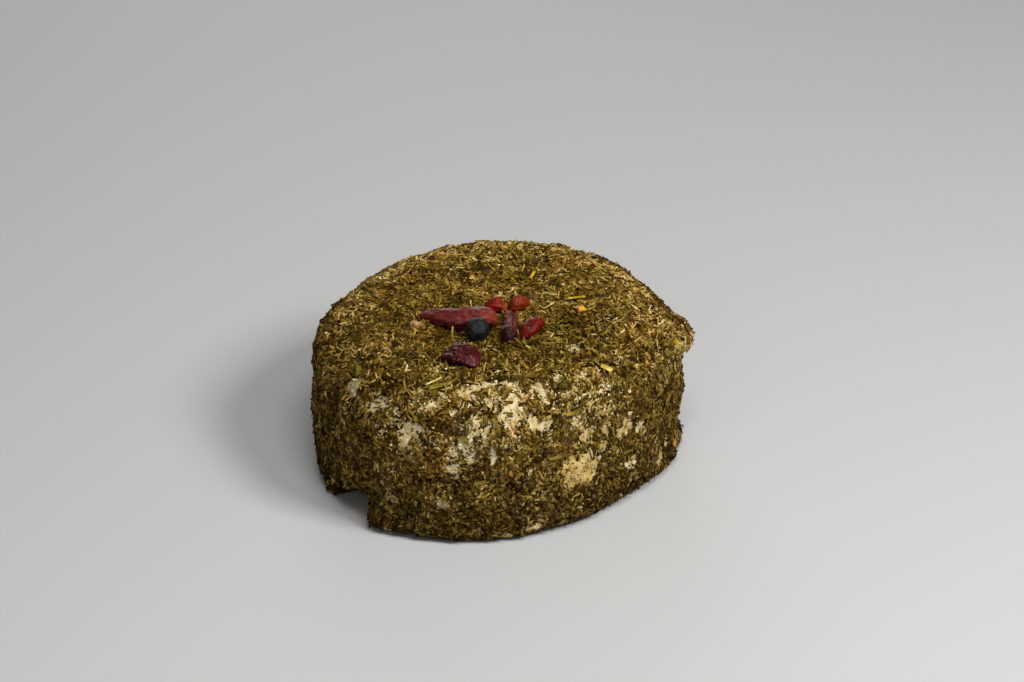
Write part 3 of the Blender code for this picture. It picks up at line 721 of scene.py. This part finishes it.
def as_dust(z, facing_up):
    """Mostly on the wall, on bare paste too."""
    return (facing_up > -0.3) * (z > 0.4 * MM) * (0.4 + 0.6 * (facing_up < 0.8)) * (1 - 0.65 * bare_cells)


def near_paste(z, facing_up):
    """Crumbs of paste lie where the ground is pale, but not on the bare places."""
    return (facing_up > -0.3) * (z > 3 * MM) * pale_cells * (1 - 0.8 * bare_cells)


def kept_by(size, seed):
    """On the crust, many in clumps of a size in millimetres and few between them."""
    blots = grains(form_points, (size, seed, 0.65, 1), (size / 2, seed + 1, 0.35, 1))
    share = per_cell(0.2 + 1.6 * ease((blots - 0.5 + CLUMP_EDGE / 2) / CLUMP_EDGE))
    return lambda z, facing_up: on_crust(z, facing_up) * share


print("places can be drawn")

# %% The shapes of the bits
SHAPES = {  # points along, across and above, and faces
    "needle": (  # two triangles, joined
        ((-0.5, 0.5, -0.3), (-0.5, -0.5, -0.3), (-0.5, 0, 0.5),
         (0.5, 0.4, -0.3), (0.5, -0.4, -0.3), (0.5, 0.05, 0.45)),
        ((0, 1, 2), (3, 5, 4), (0, 3, 4), (0, 4, 1), (0, 2, 5), (0, 5, 3), (1, 4, 5), (1, 5, 2)),
    ),
    "flake": (  # four points round its rim, one above and one below
        ((-0.5, 0, 0), (0.5, 0.1, 0), (0.05, 0.5, 0), (-0.1, -0.5, 0), (0, 0, 0.5), (0, 0, -0.5)),
        ((0, 4, 2), (2, 4, 1), (1, 4, 3), (3, 4, 0), (2, 5, 0), (1, 5, 2), (3, 5, 1), (0, 5, 3)),
    ),
}
print("shapes:", ", ".join(SHAPES))

# %% The finish of the herbs
# Painted light: the edges of the two flaps on the right are painted lighter and golden, as where light
# catches them.
LIT_EDGE_PLACES = (((58.0, 0.0, 37.0), 15.0), ((55.5, -6.0, 6.0), 8.0))  # golden edges: middle and size, mm


def herb_finish(name, stops):
    """Each bit's tone, a number on its points, picks its colour. A painted highlight lightens the rim of the
    dish, painted shade darkens the edge at the back, and painted light makes the edges of the flaps lighter
    and golden.
    Painted light also makes the top and the back lighter and the right side darker, and the wall grows
    darker towards the foot; noise mottles, stains and greys them all."""
    finish = Finish(name, Specular_IOR_Level=0.03)
    mottle, clump, area = finish.noise(0.7, 3.0), finish.noise(3.0, 2.0), finish.noise(9.0, 2.0)
    x, y, z = finish.axes()
    radius = x.maths("SQRT", x * x + y * y)
    # Painted highlight: the ring round the dish is made lighter, most at the back, where it faces the lamps.
    rim = radius.between(32.0, 42.0) - radius.between(46.0, 52.0)
    painted_rim_highlight = rim * z.between(38.0, 42.0) * (0.4 + y.between(-25.0, 25.0) * 0.8) * 0.24
    # Painted shade: the edge at the back, where the top slopes away from the lamps, is made darker.
    painted_back_shade = radius.between(47.0, 54.0) * y.between(-12.0, 12.0) * 0.38
    # Painted light on the edges of the flaps.
    painted_edge_light = sum(1 - finish.distance(at).between(0.3 * size, size) for at, size in LIT_EDGE_PLACES)
    tone = 0.10 + finish.attribute("tone") * 0.76 + (clump - 0.5) * 0.8 + (area - 0.5) * 0.8
    tone = tone + painted_rim_highlight - painted_back_shade + painted_edge_light * 0.42
    # Random mottle times painted light: the top and the back are painted lighter and the right side darker,
    # and the wall grows darker towards the foot.
    mottle_and_painted_light = (0.35 + mottle * 1.3) * (0.45 + z.between(-3.0, 24.0) * 0.47 + z.between(34.0, 44.0) * 0.18)
    mottle_and_painted_light = mottle_and_painted_light * (0.96 + y.between(-45.0, 20.0) * 0.12) * (1 - x.between(30.0, 52.0) * 0.06)
    rusty = finish.noise(12.0, 3.0).between(0.42, 0.66)
    colour = finish.stain(0.16 + rusty * 0.36, finish.ramp(tone, stops), (1.13, 0.87, 0.68))
    greyed = finish.noise(1.1, 1.0).between(0.50, 0.60)
    colour = finish.stain(greyed * 0.65, colour, (0.78, 0.94, 1.05))
    smeared = finish.noise(1.3, 3.0).between(0.54, 0.72) * (1 - z.between(36.0, 43.0)) * 0.32
    colour = finish.mix(smeared, colour, (0.34, 0.27, 0.14))
    finish.feed("Base Color", finish.tint(colour, mottle_and_painted_light))
    finish.feed("Roughness", 0.70 + mottle * 0.25)
    finish.bump(finish.noise(0.25, 2.0), 0.05)
    return finish


print(f"golden edges at {len(LIT_EDGE_PLACES)} places")

# %% Lay copies of a shape
IRREGULAR = 0.28
WALL_SIZE, TOP_CHANGE = np.array((0.72, 1.30)), np.array((0.50, -0.36))  # of length and width
LOWEST = 0.02 * MM


def lay(name, shape, places, normal, up, turn, tilt, roll, size, rough, random, colours, tones=None):
    """A piece of copies of a shape: turned about the normal, leant, rolled, sized and made irregular."""
    shape, shape_faces = (np.array(part) for part in SHAPES[shape])
    along = up * np.cos(turn) + np.cross(normal, up) * np.sin(turn)
    across = np.cross(normal, along)
    along = along * np.cos(tilt) + normal * np.sin(tilt)
    above = np.cross(along, across)
    level = across
    across = level * np.cos(roll) + above * np.sin(roll)
    above = above * np.cos(roll) - level * np.sin(roll)
    count = len(places)
    local = shape[None] * (1 + rough * random.normal(size=(count, len(shape), 3)).clip(-1.5, 1.5))
    local = local * size[:, None]
    ways = (along, across, above)
    points = places[:, None] + sum(local[..., k : k + 1] * way[:, None] for k, way in enumerate(ways))
    points[..., 2] = np.maximum(points[..., 2], LOWEST)
    faces = (np.arange(count)[:, None, None] * len(shape) + shape_faces).reshape(-1, 3).tolist()
    tones = random.rand(count) if tones is None else tones
    marks = {"tone": np.repeat(tones, len(shape))}
    new_piece(name, points.reshape(-1, 3), faces, herb_finish(name, colours), None, marks, False)


def strew(name, shape, count, seed, weight, sizes, lean, lift, colours):
    """Draws a place, a pose and a size for each bit; those on the wall are shorter and more upright."""
    places, normal, up, random = strewn(count, seed, weight)
    flatness = ease((normal[:, 2:] - 0.35) / 0.5)
    turn = random.normal(size=(count, 1)) * np.radians(55 + 130 * flatness)
    loose = flatness * ease((10 * MM - places[:, 1:2]) / (25 * MM))
    tilt = random.normal(size=(count, 1)) * np.radians(lean * (1 + 1.2 * loose))
    roll = random.normal(size=(count, 1)) * 0.4
    sizes = np.array(sizes) * MM
    size = np.hstack([low + (high - low) * random.beta(1.5, 2.4, (count, 1)) for low, high in sizes])
    size[:, :2] *= WALL_SIZE + TOP_CHANGE * flatness
    raised = (lift[0] + (lift[1] - lift[0]) * random.rand(count, 1) ** 1.3) * MM
    places = places + normal * (raised + np.abs(np.sin(tilt)) * size[:, :1] * 0.25)
    lay(name, shape, places, normal, up, turn, tilt, roll, size, IRREGULAR, random, colours)


print("herbs can be strewn")

# %% Strew the crust
OLIVE = (
    (0.0, 0.019, 0.011, 0.001), (0.4, 0.073, 0.0455, 0.005),
    (0.8, 0.193, 0.129, 0.021), (1.0, 0.36, 0.262, 0.08),
)
BROWN = (
    (0.0, 0.021, 0.010, 0.001), (0.4, 0.085, 0.0455, 0.006),
    (0.8, 0.206, 0.121, 0.024), (1.0, 0.37, 0.25, 0.085),
)
DARK = ((0.0, 0.010, 0.005, 0.0), (0.5, 0.028, 0.015, 0.001), (1.0, 0.070, 0.042, 0.006))
VIOLET = ((0.0, 0.012, 0.007, 0.003), (0.5, 0.031, 0.018, 0.009), (1.0, 0.068, 0.042, 0.020))
GOLD = (
    (0.0, 0.14, 0.084, 0.010), (0.5, 0.30, 0.21, 0.042),
    (0.85, 0.48, 0.37, 0.13), (1.0, 0.63, 0.53, 0.27),
)
PASTE = (
    (0.0, 0.24, 0.18, 0.06), (0.4, 0.42, 0.34, 0.15),
    (0.8, 0.60, 0.53, 0.30), (1.0, 0.70, 0.64, 0.42),
)
HERBS = (  # name, shape, how many, seed, where; length, width and thickness, lean, lift, colours; mm
    ("olive_needles", "needle", 17000, 41, kept_by(3.0, 51),
     ((1.3, 3.7), (0.45, 1.15), (0.25, 0.55)), 8, (0, 0.4), OLIVE),
    ("brown_needles", "needle", 13500, 42, kept_by(2.6, 53),
     ((1.3, 3.6), (0.45, 1.15), (0.25, 0.55)), 8, (0, 0.45), BROWN),
    ("dark_needles", "needle", 13500, 43, kept_by(2.4, 55),
     ((1.2, 3.3), (0.50, 1.25), (0.25, 0.55)), 8, (0, 0.4), DARK),
    ("gold_needles", "needle", 4400, 44, kept_by(3.4, 57),
     ((1.2, 4.0), (0.35, 0.85), (0.2, 0.4)), 9, (0.1, 0.5), GOLD),
    ("leaf_flakes", "flake", 13500, 45, kept_by(2.8, 59),
     ((1.0, 2.8), (0.8, 2.0), (0.15, 0.35)), 12, (0, 0.5), OLIVE),
    ("dark_leaves", "flake", 750, 49, kept_by(2.8, 63),
     ((1.8, 4.2), (1.3, 2.8), (0.2, 0.45)), 8, (0.25, 0.5), VIOLET),
    ("herb_dust", "flake", 13500, 46, as_dust,
     ((0.5, 1.4), (0.4, 1.1), (0.15, 0.40)), 14, (0, 0.15), DARK),
    ("paste_crumbs", "flake", 1050, 48, near_paste,
     ((0.6, 2.0), (0.5, 1.5), (0.20, 0.45)), 14, (0.1, 0.4), PASTE),
    ("gold_flakes", "flake", 4000, 47, kept_by(3.0, 61),
     ((0.7, 1.9), (0.5, 1.3), (0.15, 0.30)), 12, (0.1, 0.5), GOLD),
)
for kind in HERBS:
    strew(*kind)

# %% Bits that stand out
SINGLE_LIFT, SINGLE_LIFT_ON_TOP = 0.75, 0.85  # mm
SINGLE_IRREGULAR = 0.12
SINGLE_BITS = (  # x, y, z, turn, length, width, thickness, tone along the colours below; mm and degrees
    (-11.4, -36.9, 46.3, -51, 5.4, 0.8, 0.5, 1), (-17.3, -42.5, 45.7, -42, 4.6, 0.7, 0.5, 1),
    (-15.6, -43.8, 45.3, -55, 5.9, 1.4, 0.5, 0.5), (-12.6, -42.9, 45.6, -35, 4.8, 1, 0.5, 0.5),
    (31.4, -32.3, 44, 30, 3.4, 2.2, 0.4, 0.72), (53.8, -7.8, 7.1, 0, 2.8, 2.2, 0.5, 0.36),
    (11.4, 23.1, 44.2, 5, 4.5, 1.1, 0.5, 0.80), (24.3, 7.1, 45.2, -15, 4.8, 0.9, 0.5, 0.72),
    (15.4, -20, 46.3, 5, 4.5, 1.1, 0.5, 0.66), (52.7, -6.1, 37.9, 10, 2.6, 1.7, 0.5, 0.36),
    (21.3, -45.1, 36.8, 90, 4.2, 1.2, 0.5, 0.76), (16.1, -49.9, 27.5, 80, 6.5, 1.4, 0.5, 0.05),
    (28.6, -43.1, 23, -20, 4.5, 1, 0.5, 0), (-1.9, -56.3, 17, -60, 4.4, 1.2, 0.5, 0.62),
    (-2.4, -57.6, 26.8, 3, 4.6, 0.9, 0.4, 0.20), (-4.2, -57.3, 21.5, 90, 4.2, 1.7, 0.5, 0.50),
    (17, -50.1, 25.3, 90, 3.6, 1.2, 0.4, 0.40), (-38.9, -31, 42.1, 60, 5, 2.4, 0.5, 0.62),
)
RED_TO_STRAW = (
    (0.0, 0.020, 0.010, 0.006), (0.25, 0.10, 0.042, 0.014), (0.5, 0.15, 0.115, 0.018),
    (0.75, 0.40, 0.27, 0.025), (1.0, 0.66, 0.54, 0.26),
)


def single_bits():
    """Each bit takes the normal and the upward way of the nearest point of the ground."""
    table = np.array(SINGLE_BITS)
    flat = ground.reshape(-1, 3)
    nearest = [int(np.argmin(((flat - place * MM) ** 2).sum(axis=1))) for place in table[:, :3]]
    normal = grid_normals(ground).reshape(-1, 3)[nearest]
    up = along_surface(np.gradient(ground, axis=0).reshape(-1, 3)[nearest], normal)
    turn, still, size = np.radians(table[:, 3:4]), np.zeros((len(table), 1)), table[:, 4:7] * MM
    places = flat[nearest] + normal * (SINGLE_LIFT + SINGLE_LIFT_ON_TOP * normal[:, 2:]) * MM
    pose, random = (places, normal, up, turn, still, still), np.random.RandomState(71)
    lay("single_bits", "needle", *pose, size, SINGLE_IRREGULAR, random, RED_TO_STRAW, table[:, 7])


single_bits()

# %% [markdown]
# ## Dried chillies
# A dried bird's-eye chilli is a thin glossy skin that has fallen in on itself, so it is creased
# lengthwise, flat, and bent. Each one is a ring carried along a curved path over the top: the path's
# points give the half-width, waves round the ring the big creases, and stretched grain the fine wrinkles.

# %% Paths of the chillies
# The colours of folds to ridges are painted shade in the folds and a painted highlight on the ridges; the
# colour of the end is partly a painted glow of light through the skin.
PODS = {  # stops in plan with half-widths, flatness, creases, colours of folds to ridges, of the end; mm
    "chilli_long": (
        ((-23.3, -5.8, 0.7), (-18.9, -8.2, 2.3), (-14.2, -10.1, 3.4), (-9.6, -10.5, 4.0),
         (-5.3, -9.6, 4.0), (-1.0, -8.8, 3.2), (1.3, -8.7, 1.5)),
        0.86, 0.75,
        ((0.0, 0.026, 0.003, 0.003), (0.5, 0.100, 0.012, 0.011), (1.0, 0.235, 0.044, 0.036)),
        (0.180, 0.028, 0.012),
    ),
    "chilli_red_end": (
        ((-3.2, -0.9, 1.2), (-1.1, -0.7, 2.3), (1.5, -0.5, 2.4), (3.2, -0.1, 1.4)),
        0.95, 0.7,
        ((0.0, 0.050, 0.002, 0.001), (0.5, 0.165, 0.007, 0.003), (1.0, 0.310, 0.032, 0.008)),
        (0.300, 0.040, 0.008),
    ),
    "chilli_orange_end": (
        ((3.9, 0.4, 1.2), (5.8, 1.1, 2.4), (8.1, 2.3, 2.2), (10.6, 4.5, 0.6)),
        0.90, 0.9,
        ((0.0, 0.060, 0.005, 0.001), (0.5, 0.155, 0.018, 0.003), (1.0, 0.270, 0.052, 0.008)),
        (0.200, 0.020, 0.008),
    ),
    "chilli_middle": (
        ((4.0, -2.7, 0.8), (4.4, -6.6, 2.0), (4.4, -11.4, 2.1), (4.2, -15.4, 2.2),
         (3.9, -18.8, 2.5), (3.7, -21.4, 1.4)),
        0.90, 1.1,
        ((0.0, 0.018, 0.002, 0.002), (0.5, 0.080, 0.011, 0.006), (1.0, 0.180, 0.040, 0.020)),
        (0.014, 0.001, 0.003),
    ),
    "chilli_right": (
        ((7.7, -19.4, 0.6), (9.3, -17.2, 2.3), (11.7, -13.9, 2.6), (14.1, -9.4, 1.0)),
        0.90, 0.8,
        ((0.0, 0.030, 0.001, 0.001), (0.5, 0.105, 0.004, 0.002), (1.0, 0.230, 0.018, 0.007)),
        (0.180, 0.008, 0.004),
    ),
    "chilli_front": (
        ((-15.9, -30.7, 0.7), (-13.2, -31.7, 3.3), (-9.9, -32.8, 4.7), (-6.7, -34.9, 3.5),
         (-4.9, -36.9, 1.0)),
        0.55, 1.25,
        ((0.0, 0.008, 0.001, 0.001), (0.5, 0.036, 0.002, 0.002), (1.0, 0.092, 0.006, 0.006)),
        (0.060, 0.002, 0.004),
    ),
}
print(f"{len(PODS)} paths")

# %% Rings of a pod
GAP = 0.3 * MM  # between a topping and the cheese
POD_SIDES, POD_STATIONS = 72, 120
solid_top = BVHTree.FromPolygons(
    [v.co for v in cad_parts["cheese"].data.vertices],
    [tuple(p.vertices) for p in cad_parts["cheese"].data.polygons],
)


def top_height(x, y):
    """Height of the measured cheese under a point of the plan."""
    return solid_top.ray_cast(Vector((x, y, 2 * HEIGHT)), Vector((0, 0, -1)))[0].z


def smooth_line(stops, count):
    """A Catmull-Rom curve through the stops: each stretch is a cubic that bends to its neighbours."""
    stops = np.array(stops) * MM
    ends = np.vstack([2 * stops[0] - stops[1], stops, 2 * stops[-1] - stops[-2]])
    t = np.linspace(0, len(stops) - 1, count)
    k = np.minimum(t.astype(int), len(stops) - 2)
    a, b, c, d = (ends[k + i] for i in range(4))
    u = (t - k)[:, None]
    bend, twist = 2 * a - 5 * b + 4 * c - d, 3 * b - a - 3 * c + d
    return 0.5 * (2 * b + (c - a) * u + bend * u**2 + twist * u**3)


def pod_rings(stops, flatness, creased, seed):
    """Rings across the path: half-width times waves and grain, flattened, and set down on the cheese."""
    line = smooth_line(stops, POD_STATIONS)
    way = unit(np.gradient(line[:, :2], axis=0))
    across = np.stack([-way[:, 1], way[:, 0]], 1)
    a = directions(POD_SIDES)
    t = np.linspace(0, 1, POD_STATIONS)[:, None]
    round_end = np.sqrt(np.clip(1 - (2 * np.abs(t - 0.5)) ** 14, 0.0, 1))
    half = line[:, 2:] * round_end
    crease = 0.07 * np.cos(3 * a + 1.3 * t + seed) + 0.05 * np.cos(5 * a - 2.6 * t)
    skin = from_round(1 + 0 * t, a, t * len(stops) * 0.9).reshape(-1, 3)
    fold = grain(skin * 3, 0.9, seed, (1, 1, 1.6)).reshape(half.shape[0], -1)
    wrinkle = grain(skin * 7, 0.9, seed + 1, (1, 1, 2.0)).reshape(fold.shape)
    sharp = np.abs(fold - 0.5) * 2
    r = half * (0.97 + creased * (crease + 0.20 * (sharp - 0.5) + 0.07 * (wrinkle - 0.5)))
    plan = line[:, None, :2] + across[:, None] * (r * np.cos(a))[..., None]
    floor = np.array([top_height(x, y) for x, y in line[:, :2]])[:, None]
    low = GAP + half * flatness * 1.12
    z = floor + low + r * flatness * np.sin(a)
    # How far out each point lies on a ridge, which carries the painted shade of the folds and highlight of
    # the ridges.
    depth = np.clip(sharp * 0.65 + wrinkle * 0.45, 0, 1)
    return np.concatenate([plan, z[..., None]], axis=-1), depth, t + 0 * a


print(f"each pod is {POD_STATIONS} rings of {POD_SIDES} points")


# %% Skins of the chillies
def chilli_finish(name, stops, end_colour):
    """Painted shade darkens the folds and a painted highlight lightens the ridges; towards the end the skin
    takes the end colour, partly a painted glow of light through it; a satin skin is glossier in patches.
    """
    finish = Finish(name, Coat_Roughness=0.22, Specular_IOR_Level=0.12)
    patch = finish.noise(1.6, 3.0)
    # Painted shade in the folds and a painted highlight on the ridges.
    tone = finish.attribute("ridge") * 0.7 + patch * 0.9 - 0.32
    # Partly painted light: the end colour stands in part for light glowing through the skin.
    at_end = (finish.attribute("along") + (patch - 0.5) * 0.5).between(0.60, 0.95)
    body = finish.ramp(tone, stops)
    end = finish.tint(end_colour, 0.4 + patch * 1.2)
    finish.feed("Base Color", finish.mix(at_end * 0.9, body, end))
    finish.feed("Roughness", 0.60 - patch * 0.26)
    finish.feed("Coat Weight", finish.noise(0.9, 2.0).between(0.50, 0.62) * 0.34)
    finish.bump(finish.noise(0.45, 4.0), 0.10)
    return finish


for seed, (name, (stops, flatness, creased, colours, end_colour)) in enumerate(PODS.items()):
    rings, ridge, along = pod_rings(stops, flatness, creased, 60 + 5 * seed)
    points, faces = closed_rings(rings)
    marks = {
        "ridge": np.concatenate([ridge.ravel(), (0.5, 0.5)]),
        "along": np.concatenate([along.ravel(), (0, 1)]),
    }
    finish = chilli_finish(name + "_skin", colours, end_colour)
    new_piece(name + "_skin", points, faces, finish, name, marks)

# %% [markdown]
# ## The juniper berry
# A dried juniper berry is a shrivelled ball with a waxy grey-blue bloom, and a three-rayed seam at its
# tip. Rings of a ball, with soft dimples, give it, because the seam needs even rings round the tip.

# %% The berry
BERRY_AT = (-5.1 * MM, -17.6 * MM)
BERRY_RADIUS = 3.55 * MM
BERRY_SQUASHED = 0.94
BERRY_TIP = math.radians(35)
BERRY_ROWS, BERRY_SIDES = 60, 96


def berry_rings():
    """Radius times one plus dimples less the seam, tipped forwards and set down on the cheese."""
    ball = ball_rings(BERRY_ROWS, BERRY_SIDES)
    x, y, z = ball[..., 0], ball[..., 1], ball[..., 2]
    rays = 0.5 + 0.5 * np.cos(3 * directions(BERRY_SIDES)[None])
    furrow = np.exp(-(((1 - z) / 0.12) ** 2)) * rays * 0.06
    dimple = 0.035 * np.sin(5.1 * x + 1) * np.sin(4.3 * y + 2) * np.sin(4.7 * z)
    fine = 0.035 * (grain(ball.reshape(-1, 3), 0.42, 91).reshape(x.shape) - 0.5)
    ball = ball * (BERRY_RADIUS * (1 + dimple - furrow + fine))[..., None] * (1, 1, BERRY_SQUASHED)
    c, s = math.cos(BERRY_TIP), math.sin(BERRY_TIP)
    ball = ball @ np.array([(1, 0, 0), (0, c, s), (0, -s, c)])
    ball[..., 2] += top_height(*BERRY_AT) + 1.5 * GAP - ball[..., 2].min()
    return ball + (*BERRY_AT, 0)


def berry_finish():
    """Blue-black skin under a patchy grey bloom."""
    finish = Finish("juniper_bloom", Specular_IOR_Level=0.25)
    bloom = (finish.noise(1.1, 4.0) * 0.6 + finish.noise(0.4, 2.0) * 0.4).between(0.42, 0.62)
    finish.feed("Base Color", finish.mix(bloom, (0.0010, 0.0012, 0.0014), (0.0105, 0.0118, 0.0132)))
    finish.feed("Roughness", 0.38 + bloom * 0.42)
    finish.bump(finish.noise(0.6, 3.0), 0.34)
    return finish


rings = berry_rings()
points, faces = closed_rings(rings, 1.5 * rings[0].mean(axis=0) - 0.5 * rings[1].mean(axis=0))
new_piece("juniper_skin", points, faces, berry_finish(), "juniper_berry")

# %% [markdown]
# ## A seed, a chip, and herbs against the toppings
# Small things make a pile look as if it had lain there for a while: a seed out of a pod, a chip of skin,
# and herbs pushed up against the feet of the toppings, which hide where they touch the cheese.


# %% Seed and chip
def small_lump(name, place, reach, seed, colours, middle):
    """A ball with grain on its radius, stretched along x, y and z; its colour changes along x."""
    ball = ball_rings(24, 40)
    size = 0.55 + 0.95 * grain(ball.reshape(-1, 3), 0.75, seed).reshape(ball.shape[:2])
    ball = ball * size[..., None] * np.array(reach) * MM
    x, y = np.array(place) * MM
    rings = ball + (x, y, top_height(x, y) + reach[2] * 0.9 * MM)
    points, faces = closed_rings(rings)
    finish = Finish(name, Roughness=0.5, Specular_IOR_Level=0.35)
    colour = finish.mix(finish.axes()[0].between(middle - 0.9, middle + 0.7), *colours)
    finish.feed("Base Color", finish.tint(colour, 0.5 + finish.noise(0.8)))
    new_piece(name, points, faces, finish)


RED_TO_YELLOW = ((0.22, 0.03, 0.005), (0.66, 0.33, 0.015))
TAN_TO_BROWN = ((0.38, 0.235, 0.08), (0.22, 0.11, 0.035))
small_lump("chilli_seed", (25.2, -2.2), (1.45, 1.15, 0.7), 81, RED_TO_YELLOW, 24.8)
small_lump("tan_chip", (-22.8, -14.4), (1.9, 1.3, 1.3), 83, TAN_TO_BROWN, -22.0)


# %% Herbs round the feet of the toppings
def near_toppings(z, facing_up):
    """High within a millimetre of the outlines of the toppings, from the distance to their paths."""
    plan = form[:-1, :, :2].reshape(-1, 2)
    outlines = [smooth_line(stops, 24) for stops, *_ in PODS.values()]
    outlines.append(np.array([(*BERRY_AT, BERRY_RADIUS * 0.8)]))
    gap = np.full(len(plan), 9 * MM)
    for line in outlines:
        far = np.linalg.norm(plan[:, None] - line[None, :, :2], axis=2) - line[:, 2]
        gap = np.minimum(gap, far.min(axis=1))
    return (np.exp(-(((gap - 0.4 * MM) / (0.8 * MM)) ** 2)).reshape(z.shape)) * (facing_up > 0.5)


NEST = (  # name, how many, seed, length, width and thickness in mm, colours
    ("nest_needles", 420, 91, ((1.4, 3.8), (0.45, 1.1), (0.25, 0.5)), OLIVE),
    ("nest_brown", 300, 92, ((1.2, 3.4), (0.45, 1.1), (0.25, 0.5)), BROWN),
    ("nest_straw", 110, 93, ((1.4, 3.8), (0.4, 0.9), (0.2, 0.4)), GOLD),
)
for name, count, seed, sizes, colours in NEST:
    strew(name, "needle", count, seed, near_toppings, sizes, 12, (0.3, 1.2), colours)

# %% [markdown]
# ## Floor
# The cheese stands on a plain pale board, which isn't part of it.

# %% The floor
floor_mesh = bpy.data.meshes.new("floor")
floor_mesh.from_pydata([(-3, -3, 0), (3, -3, 0), (3, 3, 0), (-3, 3, 0)], [], [(0, 1, 2, 3)])
floor_finish = Finish("pale_floor", Base_Color=(0.44, 0.45, 0.46, 1), Roughness=0.7)
floor_mesh.materials.append(floor_finish.material)
put("floor", floor_mesh)
print("a floor at height 0")
